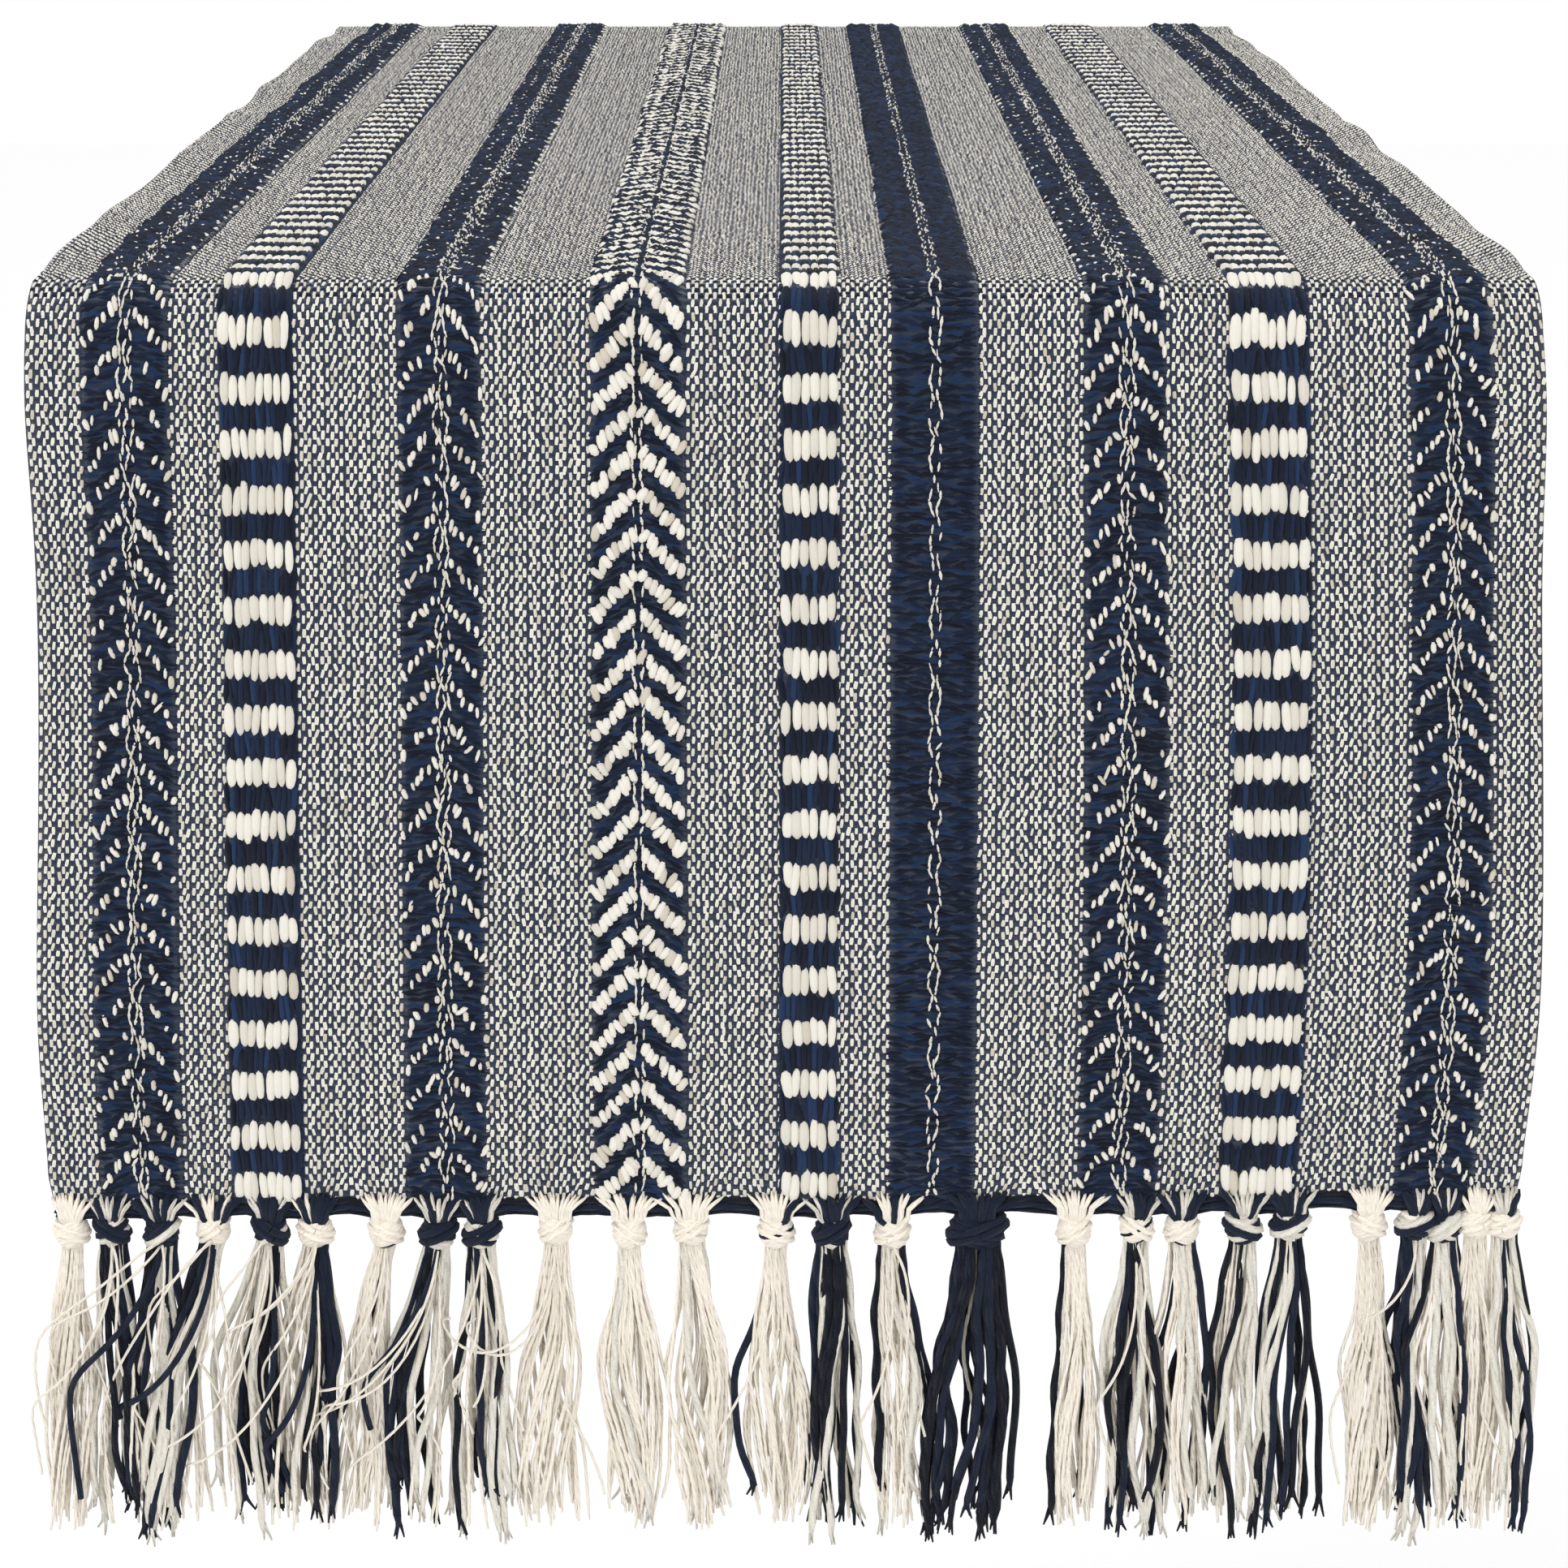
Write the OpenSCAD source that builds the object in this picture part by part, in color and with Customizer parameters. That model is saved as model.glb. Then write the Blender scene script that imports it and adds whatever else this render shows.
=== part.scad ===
// Handwoven table runner laid over a table: a flat panel on the table top, a rounded
// fold over each table edge, a drop at each end, a thick weft heading at each hem and
// a row of knotted warp tassels below it. Millimetres, +Z up. The origin is the centre
// of the underside of the flat panel. X runs across the cloth, Y along it.

/* [Cloth] */
// Width of the cloth, selvedge to selvedge
cloth_w = 381; // [250:1:600]
// Thickness of the plain ground weave
cloth_t = 2.0; // [1.2:0.1:3]
// How far the lengthwise pattern bands stand proud of the ground
band_rise = 0.6; // [0.2:0.1:1.2]

/* [Drape] */
// Length of the laid cloth, measured over the outer faces of the two drops
laid_len = 700; // [400:1:1500]
// Inner radius of the fold over a table edge
fold_r = 10; // [4:1:20]
// Straight drop from the bottom of the fold to the hem
drop_len = 237; // [120:1:320]

/* [Hem] */
// Depth of the heading, the thick weft cord that closes each hem
heading_h = 3.2; // [2.4:0.1:6]
// Thickness of the heading
heading_t = 3.0; // [2.4:0.1:5]

/* [Tassels] */
// Length from the hem to the tips of the tassels
fringe_len = 92; // [50:1:140]
// Largest radius of a knot
knot_r = 4.0; // [2:0.1:6]
// Largest radius of a tassel at its tip
tip_r = 6.0; // [2:0.1:9]
// Clear space between neighbouring tassels, and between a knot and the heading
tassel_gap = 0.3; // [0.2:0.1:1]

/* [Hidden] */
$fn = 64;
navy = [0.10, 0.15, 0.25];
ivory = [0.90, 0.87, 0.80];
ground = [0.55, 0.56, 0.58];
mixed = [0.50, 0.50, 0.52];

// flat half-length of the panel, and the middle plane of a drop
flat_half = laid_len / 2 - fold_r - cloth_t;
drop_y = flat_half + fold_r + cloth_t / 2;
hem_z = -fold_r - drop_len;
// the axis that the tassels swing about runs inside the heading
swing_z = hem_z - heading_h + heading_t / 2;

// lengthwise pattern bands: centre and width, for a cloth 381 wide
full_w = 381;
bands = [[-165.5, 21], [-133, 17], [-86.5, 20.5], [-37, 23.5], [6.5, 13.5],
         [38, 21.5], [86, 20.5], [121.5, 18.5], [167.5, 20.5]];

// where each knot gathers its warps, for a cloth 381 wide
knots = [-185, -174, -161, -147.5, -133, -121, -103, -89.5, -78, -59, -40, -24, -2,
         12.5, 28, 50, 75, 91, 103, 118.5, 131, 151, 163, 171, 179, 187];
// yarn of each tassel: 0 ivory, 1 both yarns, 2 navy
yarns = [0, 1, 1, 1, 1, 1, 1, 1, 1, 0, 0, 0, 0, 1, 1, 2, 1, 1, 1, 1, 1, 0, 1, 1, 0, 0];
// the wide knot under the plain navy band gathers two bundles
wide_knot = 15;

function spread(x) = x * cloth_w / full_w;
function side_gap(i) = min([for (j = [0:len(knots) - 1]) if (j != i)
    abs(spread(knots[i] - knots[j])) - (j == wide_knot ? knot_r : 0)]);
function room(i) = side_gap(i) / 2 - tassel_gap;
function knot_size(i) = min(knot_r, room(i));
function tip_size(i) = i == wide_knot ? knot_r : min(tip_r, room(i));
function two(n) = str(n < 10 ? "0" : "", n);

// what is drawn for the front end, put at the back end with left and right kept
module at_back() { mirror([0, 1, 0]) children(); }

// section across the cloth: the ground with the bands standing proud on its face
module cloth_section() {
    translate([-cloth_w / 2, 0]) square([cloth_w, cloth_t]);
    for (b = bands)
        translate([spread(b[0]) - spread(b[1]) / 2, 0])
            square([spread(b[1]), cloth_t + band_rise]);
}

// the panel that lies on the table
module cloth_top() {
    color(ground) translate([0, flat_half, 0]) rotate([90, 0, 0])
        linear_extrude(height = 2 * flat_half) cloth_section();
}

// a quarter ring of cloth, "at" its middle across the cloth
module quarter_ring(width, outer_r, at) {
    translate([0, 0, -at - width / 2]) rotate_extrude(angle = 90)
        translate([fold_r, 0]) square([outer_r - fold_r, width]);
}

// a quarter turn of cloth over the table edge
module end_fold() {
    outer_r = fold_r + cloth_t;
    color(ground)
        translate([0, -flat_half, -fold_r]) rotate([0, 90, 0]) rotate([0, 0, 180]) {
            quarter_ring(cloth_w, outer_r, 0);
            for (b = bands)
                quarter_ring(spread(b[1]), outer_r + band_rise, spread(b[0]));
        }
}

// the straight hanging end of the cloth
module end_drop() {
    color(ground) translate([0, -flat_half - fold_r, hem_z])
        linear_extrude(height = drop_len) mirror([0, 1]) cloth_section();
}

// thick weft cord along the hem, flat where it meets the cloth and round below
module end_heading() {
    color(navy) translate([-cloth_w / 2, -drop_y, 0]) rotate([90, 0, 90])
        linear_extrude(height = cloth_w) {
            translate([-heading_t / 2, swing_z])
                square([heading_t, hem_z - swing_z]);
            translate([0, swing_z]) circle(r = heading_t / 2);
        }
}

// a knot of gathered warps over its skirt of loose yarn ends
module bundle(r, tip) {
    knot_z = swing_z - heading_t / 2 - tassel_gap - r;
    tip_z = hem_z - fringe_len;
    translate([0, 0, knot_z]) sphere(r = r);
    translate([0, 0, tip_z])
        cylinder(r1 = tip, r2 = r * 0.7, h = knot_z - tip_z);
}

module end_tassel(i) {
    tone = yarns[i - 1] == 0 ? ivory : yarns[i - 1] == 2 ? navy : mixed;
    color(tone) translate([spread(knots[i - 1]), -drop_y, 0]) {
        if (i - 1 == wide_knot)
            for (s = [-1, 1]) translate([s * knot_r * 0.8, 0, 0])
                bundle(knot_r, knot_r);
        else
            bundle(knot_size(i - 1), tip_size(i - 1));
    }
}

module front_fold() { end_fold(); }
module back_fold() { at_back() end_fold(); }
module front_drop() { end_drop(); }
module back_drop() { at_back() end_drop(); }
module front_heading() { end_heading(); }
module back_heading() { at_back() end_heading(); }
module front_tassel(i) { end_tassel(i); }
module back_tassel(i) { at_back() end_tassel(i); }

cloth_top();
front_fold();
back_fold();
front_drop();
back_drop();
front_heading();
back_heading();
for (i = [1:len(knots)])
    front_tassel(i);
for (i = [1:len(knots)])
    back_tassel(i);
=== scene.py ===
import math

import bpy
import numpy as np
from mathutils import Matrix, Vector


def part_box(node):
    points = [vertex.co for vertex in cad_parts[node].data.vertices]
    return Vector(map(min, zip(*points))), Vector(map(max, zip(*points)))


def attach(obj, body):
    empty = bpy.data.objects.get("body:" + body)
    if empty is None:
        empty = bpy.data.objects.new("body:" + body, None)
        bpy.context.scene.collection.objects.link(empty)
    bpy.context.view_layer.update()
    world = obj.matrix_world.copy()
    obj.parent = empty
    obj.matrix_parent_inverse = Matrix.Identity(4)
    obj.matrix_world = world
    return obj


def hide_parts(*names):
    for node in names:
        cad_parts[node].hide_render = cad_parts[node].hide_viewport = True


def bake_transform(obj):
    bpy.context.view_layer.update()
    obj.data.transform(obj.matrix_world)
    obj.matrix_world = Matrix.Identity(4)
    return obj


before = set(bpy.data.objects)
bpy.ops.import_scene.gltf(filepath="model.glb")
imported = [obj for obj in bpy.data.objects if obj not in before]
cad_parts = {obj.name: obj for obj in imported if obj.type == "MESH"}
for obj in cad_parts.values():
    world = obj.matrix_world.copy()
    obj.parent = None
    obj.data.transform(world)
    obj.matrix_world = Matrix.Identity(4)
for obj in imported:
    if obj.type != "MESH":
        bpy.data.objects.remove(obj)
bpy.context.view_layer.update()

# Studio: a long lens a little above the table top, aimed at the front end, over a plain
# pale floor. Lengths are metres, +Z is up and the front end hangs on the -Y side.
panel_low, panel_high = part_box("cloth_top")
drop_low, drop_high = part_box("front_drop")
front_face = drop_low[1]
camera_distance = 0.920
camera_height = 0.149
camera_pitch = math.radians(14.5)

lens = bpy.data.cameras.new("camera")
lens.lens = 85.2
lens.sensor_width = 36.0
lens.shift_y = -0.10
camera = bpy.data.objects.new("camera", lens)
camera.location = (0.0, front_face - camera_distance, panel_high[2] + camera_height)
camera.rotation_euler = (math.pi / 2 - camera_pitch, 0.0, 0.0)
bpy.context.scene.collection.objects.link(camera)
bpy.context.scene.camera = camera


def shade(red, green, blue):
    """A display colour, 0 to 255, as the linear colour that a shader takes."""
    parts = [c / 255 for c in (red, green, blue)]
    return [p / 12.92 if p <= 0.04045 else ((p + 0.055) / 1.055) ** 2.4 for p in parts] + [1.0]


def soft_light(name, place, aim, power, size):
    lamp = bpy.data.lights.new(name, "AREA")
    lamp.energy = power
    lamp.size = size
    holder = bpy.data.objects.new(name, lamp)
    holder.location = place
    way = np.array(aim) - np.array(place)
    flat = math.hypot(way[0], way[1])
    holder.rotation_euler = (math.atan2(flat, -way[2]), 0.0, math.atan2(-way[0], way[1]))
    bpy.context.scene.collection.objects.link(holder)


soft_light("key_light", (-1.1, -1.7, 1.5), (0.0, -0.3, -0.1), 13.0, 1.0)
soft_light("fill_light", (1.4, -1.6, 0.7), (0.0, -0.3, -0.15), 2.0, 1.4)
soft_light("top_light", (0.1, 0.5, 1.7), (0.0, 0.1, 0.0), 3.0, 1.5)

sky = bpy.data.worlds.new("sky")
sky.use_nodes = True
sky.node_tree.nodes["Background"].inputs["Color"].default_value = (1.0, 1.0, 1.0, 1.0)
sky.node_tree.nodes["Background"].inputs["Strength"].default_value = 1.0
bpy.context.scene.world = sky
bpy.context.scene.view_settings.view_transform = "Standard"

floor_paint = bpy.data.materials.new("floor_paint")
floor_paint.use_nodes = True
floor_shader = floor_paint.node_tree.nodes["Principled BSDF"]
floor_shader.inputs["Base Color"].default_value = shade(253, 253, 253)
floor_shader.inputs["Roughness"].default_value = 0.9
floor_z = -0.75
floor_mesh = bpy.data.meshes.new("floor")
floor_mesh.from_pydata(
    [(-6, -6, floor_z), (6, -6, floor_z), (6, 6, floor_z), (-6, 6, floor_z)], [], [(0, 1, 2, 3)]
)
floor_mesh.materials.append(floor_paint)
floor = bpy.data.objects.new("floor", floor_mesh)
bpy.context.scene.collection.objects.link(floor)

# Cloth: one plain-woven length, ivory cotton warp over navy cotton weft, laid over the
# table so that each end turns over the edge in a soft fold and hangs straight. The
# pattern bands are thicker than the ground, and the hem dips where a knot pulls on it.
cloth_width = panel_high[0] - panel_low[0]
cloth_thick = 0.002
band_rise = 0.0006
flat_half = panel_high[1]
fold_inner = -drop_high[2]
fold_middle = fold_inner + cloth_thick / 2
fold_arc = math.pi / 2 * fold_middle
drop_length = drop_high[2] - drop_low[2]
half_length = flat_half + fold_arc + drop_length
hem_flare = 0.035
knot_pull = 0.0022
knot_reach = 0.0042
gather_reach = 0.005
drop_sway = 0.0011
right_hem_rise = 0.0023
right_side_swing = 0.0035
edge_lift = 0.0016
panel_wave = 0.0006
edge_waver = 0.0009
warp_pitch = 0.00115
pick_pitch = 0.00178

# middle, width and kind of each lengthwise band, in millimetres from the centre line
bands = [
    (-165.5, 21.0, "feather"),
    (-133.0, 17.0, "ladder"),
    (-86.5, 20.5, "feather"),
    (-37.0, 23.5, "chevron"),
    (6.5, 13.5, "ladder"),
    (38.0, 21.5, "braid"),
    (86.0, 20.5, "feather"),
    (121.5, 18.5, "ladder"),
    (167.5, 20.5, "feather"),
]
band_edges = [((m - w / 2) / 1000, (m + w / 2) / 1000) for m, w, kind in bands]

# where each knot sits across the hem, in millimetres, with its yarns: how many thin
# ivory, thick ivory and navy yarns, the side that the navy lies on, and how far the
# tips lie to the right of the knot
tassels = [
    (-185.0, 38, 0, 0, 0, -4),
    (-174.0, 8, 4, 5, 0, -1),
    (-161.0, 8, 4, 6, 0, -4),
    (-147.5, 22, 2, 4, -1, -11),
    (-133.0, 6, 5, 7, 1, -8),
    (-121.0, 20, 2, 5, 1, -5),
    (-103.0, 34, 0, 1, 1, -12),
    (-89.5, 6, 5, 7, -1, -6),
    (-78.0, 8, 7, 4, 0, 1),
    (-59.0, 38, 0, 0, 0, -3),
    (-40.0, 36, 2, 0, 0, 0),
    (-24.0, 38, 2, 0, 0, 4),
    (-2.0, 36, 0, 1, -1, -2),
    (12.5, 4, 4, 9, 0, 2),
    (28.0, 20, 2, 3, 0, 1),
    (50.0, 1, 0, 24, 0, 0),
    (75.0, 32, 1, 2, -1, 1),
    (91.0, 12, 4, 5, -1, -1),
    (103.0, 16, 3, 5, 1, 2),
    (118.5, 8, 6, 4, -1, -2),
    (131.0, 2, 4, 9, 0, 1),
    (151.0, 38, 0, 0, 0, 5),
    (163.0, 5, 4, 7, -1, 1),
    (171.0, 6, 4, 5, 0, 1),
    (179.0, 32, 0, 0, 0, 0),
    (187.0, 14, 3, 3, 1, 2),
]
knot_x = np.array([row[0] for row in tassels]) / 1000


def ease(x):
    x = np.clip(x, 0.0, 1.0)
    return x * x * (3 - 2 * x)


def relief(u):
    """How far the bands lift the face of the cloth at u across it."""
    rise = np.zeros_like(u)
    soft = 0.0006
    for left, right in band_edges:
        rise += band_rise * ease((u - left) / soft + 0.5) * ease((right - u) / soft + 0.5)
    return rise


def hem_dip(u):
    """How far the knots pull the hem down at u."""
    pulls = np.exp(-((u[..., None] - knot_x) ** 2) / (2 * knot_reach**2))
    return knot_pull * np.clip(pulls.sum(-1), 0.0, 1.15) - 0.0012


def gather(u, hung):
    """How far the last picks above the hem are drawn sideways to their knots."""
    away = knot_x - u[..., None]
    hold = np.exp(-(away**2) / (2 * gather_reach**2))
    return ease((hung - 0.955) / 0.045) * 0.42 * (hold * away).sum(-1) / (hold.sum(-1) + 0.35)


def lay(u, v, height):
    """Place of the point u across and v along the flat cloth, height over its middle."""
    u, v, height = np.broadcast_arrays(*[np.asarray(a, float) for a in (u, v, height)])
    along = np.abs(v)
    way = np.where(v < 0, -1.0, 1.0)
    turn = np.clip((along - flat_half) / fold_middle, 0.0, math.pi / 2)
    hang = np.maximum(along - flat_half - fold_arc, 0.0)
    hung = hang / drop_length
    edge = np.clip(np.abs(u) / (cloth_width / 2), 0.0, 1.1)

    out = np.minimum(along, flat_half) + (fold_middle + height) * np.sin(turn)
    up = (fold_middle + height) * np.cos(turn) - fold_inner - hang
    out += drop_sway * np.sin(math.pi * np.clip(hung, 0, 1)) * np.sin(u / 0.031 + 1.3 * way)
    up -= hem_dip(u) * ease((hung - 0.93) / 0.07)
    up += right_hem_rise * ease(hung) * ease((u - 0.03) / 0.15) * (way < 0)

    on_table = ease((flat_half - 0.02 - along) / 0.05)
    ripple = 0.5 + 0.5 * np.sin(v / 0.021 + 2.1 * np.sin(v / 0.09) + 4 * np.sign(u))
    up += on_table * edge_lift * edge**6 * ripple
    up += on_table * panel_wave * (0.5 + 0.5 * np.sin(v / 0.045 + u / 0.06)) * edge**2

    across = (u + gather(u, hung)) * (1 + hem_flare * (ease(hung) + hung) / 2)
    waver = np.sign(u) * np.sin(v / 0.017 + 1.7 * np.sin(v / 0.05))
    across = across + edge_waver * edge**8 * waver
    across = across + right_side_swing * ease(u / 0.19) * np.sin(math.pi * np.clip(hung, 0, 1))
    return np.stack([across, way * out, up], axis=-1)


def new_mesh(name, points, faces, edges=()):
    mesh = bpy.data.meshes.new(name)
    mesh.from_pydata([tuple(p) for p in points], list(edges), [tuple(f) for f in faces])
    return mesh


def new_object(name, mesh):
    thing = bpy.data.objects.new(name, mesh)
    bpy.context.scene.collection.objects.link(thing)
    return thing


def cross_lines(half_width):
    """Places across the cloth: close together at each band's edges, wider between them."""
    marks = {-half_width, half_width}
    for left, right in band_edges:
        marks.update(e + d for e in (left, right) for d in (-0.0004, 0.0, 0.0004))
    marks.update(np.arange(-half_width, half_width, 0.0045).tolist())
    marks = sorted(m for m in marks if abs(m) <= half_width)
    kept = [marks[0]]
    for m in marks[1:]:
        if m - kept[-1] > 0.00025:
            kept.append(m)
    return np.array(kept)


def length_lines(start, stop):
    """Places along the cloth, close together round the two folds and at the hems."""
    lines, at = [start], start
    while at < stop:
        in_fold = flat_half - 0.004 < abs(at + 0.002) < flat_half + fold_arc + 0.004
        at += 0.0013 if in_fold or abs(at) > half_length - 0.014 else 0.004
        lines.append(min(at, stop))
    return np.array(lines)


sample_width = cloth_width + 0.012
sample_length = 2 * half_length + 0.024


def cloth_surface(name, u_lines, v_lines, height, with_back):
    """A piece of the cloth: its face, and its back and edges if it is to be solid."""
    u, v = np.meshgrid(u_lines, v_lines)
    count = u.size
    points = lay(u, v, height + relief(u)).reshape(-1, 3)
    across, down = len(u_lines), len(v_lines)
    corner = np.arange(count).reshape(down, across)
    quads = np.stack([corner[:-1, :-1], corner[:-1, 1:], corner[1:, 1:], corner[1:, :-1]], -1)
    faces = quads.reshape(-1, 4)
    flat = np.stack([u.ravel() / sample_width + 0.5, v.ravel() / sample_length + 0.5], -1)
    if with_back:
        points = np.concatenate([points, lay(u, v, -height).reshape(-1, 3)])
        rim = np.concatenate([corner[0, :-1], corner[:-1, -1], corner[-1, :0:-1], corner[:0:-1, 0]])
        after = np.roll(rim, -1)
        sides = np.stack([after, rim, rim + count, after + count], -1)
        faces = np.concatenate([faces, faces[:, ::-1] + count, sides])
        flat = np.concatenate([flat, flat])
    mesh = new_mesh(name, points, faces)
    layer = mesh.uv_layers.new(name="flat")
    order = np.array([loop.vertex_index for loop in mesh.loops])
    layer.data.foreach_set("uv", flat[order].ravel())
    mesh.shade_smooth()
    return new_object(name, mesh)


class Nodes:
    """Adds nodes to a shader or geometry tree and wires them as they are made."""

    def __init__(self, tree):
        self.tree = tree

    def add(self, kind, inputs=None, **settings):
        node = self.tree.nodes.new(kind)
        for key, value in settings.items():
            setattr(node, key, value)
        for key, value in (inputs or {}).items():
            if isinstance(value, bpy.types.NodeSocket):
                self.tree.links.new(value, node.inputs[key])
            else:
                node.inputs[key].default_value = value
        return node

    def math(self, operation, *values):
        inputs = dict(enumerate(values))
        return self.add("ShaderNodeMath", inputs, operation=operation).outputs[0]


def cotton(name, colour, roughness=0.92, sheen=0.35):
    """A plain cotton material, its colour and finish set on the shader itself."""
    material = bpy.data.materials.new(name)
    material.use_nodes = True
    shader = material.node_tree.nodes["Principled BSDF"]
    shader.inputs["Base Color"].default_value = colour
    shader.inputs["Roughness"].default_value = roughness
    shader.inputs["Specular IOR Level"].default_value = 0.12
    shader.inputs["Sheen Weight"].default_value = sheen
    shader.inputs["Sheen Roughness"].default_value = 0.6
    return material, Nodes(material.node_tree), shader


ivory_light = shade(235, 231, 220)
ivory_mid = shade(222, 217, 205)
ivory_warm = shade(209, 201, 185)
navy_deep = shade(15, 23, 41)
navy_mid = shade(20, 34, 59)
navy_blue = shade(28, 50, 84)
weft_shadow = shade(18, 23, 37)
weft_light = shade(33, 49, 74)


def woven_cotton():
    """The weave seen between the raised stitches and on the back of the cloth."""
    material, nodes, shader = cotton("woven_cotton", navy_mid)
    flat = nodes.add("ShaderNodeUVMap", uv_map="flat").outputs[0]
    parts = nodes.add("ShaderNodeSeparateXYZ", {0: flat})
    u = nodes.math("MULTIPLY", nodes.math("SUBTRACT", parts.outputs[0], 0.5), sample_width)
    v = nodes.math("MULTIPLY", nodes.math("SUBTRACT", parts.outputs[1], 0.5), sample_length)
    end = nodes.math("DIVIDE", u, warp_pitch)
    pick = nodes.math("ADD", nodes.math("DIVIDE", v, pick_pitch), 0.5)
    whole_end = nodes.math("ROUND", end)
    whole_pick = nodes.math("ROUND", pick)
    over = nodes.math("PINGPONG", nodes.math("ADD", whole_end, whole_pick), 1.0)
    off_end = nodes.math("ABSOLUTE", nodes.math("SUBTRACT", end, whole_end))
    stitch = nodes.math("LESS_THAN", off_end, 0.42)
    ground = nodes.add("ShaderNodeAttribute", attribute_name="ground").outputs["Fac"]
    ivory_part = nodes.math("MULTIPLY", nodes.math("MULTIPLY", stitch, over), ground)
    cloud = nodes.add("ShaderNodeTexNoise", {"Vector": flat, "Scale": 900.0, "Detail": 3.0})
    weft = nodes.add("ShaderNodeMix", {0: cloud.outputs[0], 6: weft_shadow, 7: weft_light},
                     data_type="RGBA")
    both = nodes.add("ShaderNodeMix", {0: ivory_part, 6: weft.outputs[2], 7: ivory_mid},
                     data_type="RGBA")
    nodes.tree.links.new(both.outputs[2], shader.inputs["Base Color"])
    ridge = nodes.math("COSINE", nodes.math("MULTIPLY", pick, 2 * math.pi))
    high = nodes.math("ADD", ridge, nodes.math("MULTIPLY", cloud.outputs[0], 1.5))
    bump = nodes.add("ShaderNodeBump", {"Strength": 0.5, "Distance": 0.0003, "Height": high})
    nodes.tree.links.new(bump.outputs[0], shader.inputs["Normal"])
    return material


weave = woven_cotton()


def mark_ground(mesh):
    """Marks the plain ground of the underside, where the warp shows between the picks."""
    count = len(mesh.vertices) // 2
    flat = np.zeros(len(mesh.loops) * 2)
    mesh.uv_layers["flat"].data.foreach_get("uv", flat)
    u_of = np.zeros(len(mesh.vertices))
    order = np.array([loop.vertex_index for loop in mesh.loops])
    u_of[order] = (flat.reshape(-1, 2)[:, 0] - 0.5) * sample_width
    plain = 1.0 - ease(relief(u_of) / band_rise * 2)
    plain[:count] = 0.0
    mesh.attributes.new("ground", "FLOAT", "POINT").data.foreach_set("value", plain)


ends = {"front": -1.0, "back": 1.0}


def cross_fold(piece):
    """Bakes the piece's transform into its mesh points."""
    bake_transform(piece)


for end, way in ends.items():
    reach = sorted((0.0, way * half_length))
    piece = cloth_surface(end + "_cloth", cross_lines(cloth_width / 2), length_lines(*reach),
                          cloth_thick / 2 - 0.0001, with_back=True)
    piece.data.materials.append(weave)
    mark_ground(piece.data)
    cross_fold(piece)
    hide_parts("cloth_top", end + "_fold", end + "_drop")

laying_surface = cloth_surface(
    "laying_surface", cross_lines(sample_width / 2),
    length_lines(-sample_length / 2, sample_length / 2), cloth_thick / 2 - 0.0001, False)

# Ground weave: each ivory warp end shows as a short plump stitch over every second pick
# of the navy weft, so the ground is a fine checkerboard between the bands.


def start_tree(name, inputs):
    """A new geometry tree's nodes and inputs. Each input is a name and a kind of socket."""
    tree = bpy.data.node_groups.new(name, "GeometryNodeTree")
    face = tree.interface
    face.new_socket("Geometry", in_out="OUTPUT", socket_type="NodeSocketGeometry")
    for label, kind in inputs.items():
        face.new_socket(label, in_out="INPUT", socket_type="NodeSocket" + kind)
    nodes = Nodes(tree)
    return nodes, nodes.add("NodeGroupInput").outputs


def stored(nodes, name, kind):
    """Reads the value of this name that is kept on every point."""
    return nodes.add("GeometryNodeInputNamedAttribute", {"Name": name}, data_type=kind).outputs[0]


def finish_tree(nodes, geometry, given, names):
    """Gives each stitch or strand the material whose place in names is its tone, smooths
    it and passes it to the output."""
    tone = stored(nodes, "tone", "INT")
    for number, name in enumerate(names):
        same = nodes.add("FunctionNodeCompare", data_type="INT", operation="EQUAL")
        nodes.tree.links.new(tone, same.inputs[2])
        same.inputs[3].default_value = number
        geometry = nodes.add("GeometryNodeSetMaterial", {
            "Geometry": geometry, "Selection": same.outputs[0],
            "Material": given[name]}).outputs[0]
    smooth = nodes.add("GeometryNodeSetShadeSmooth", {"Geometry": geometry})
    nodes.add("NodeGroupOutput", {0: smooth.outputs[0]})
    return nodes.tree


stitch_yarns = ("First yarn", "Second yarn", "Third yarn")


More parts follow.
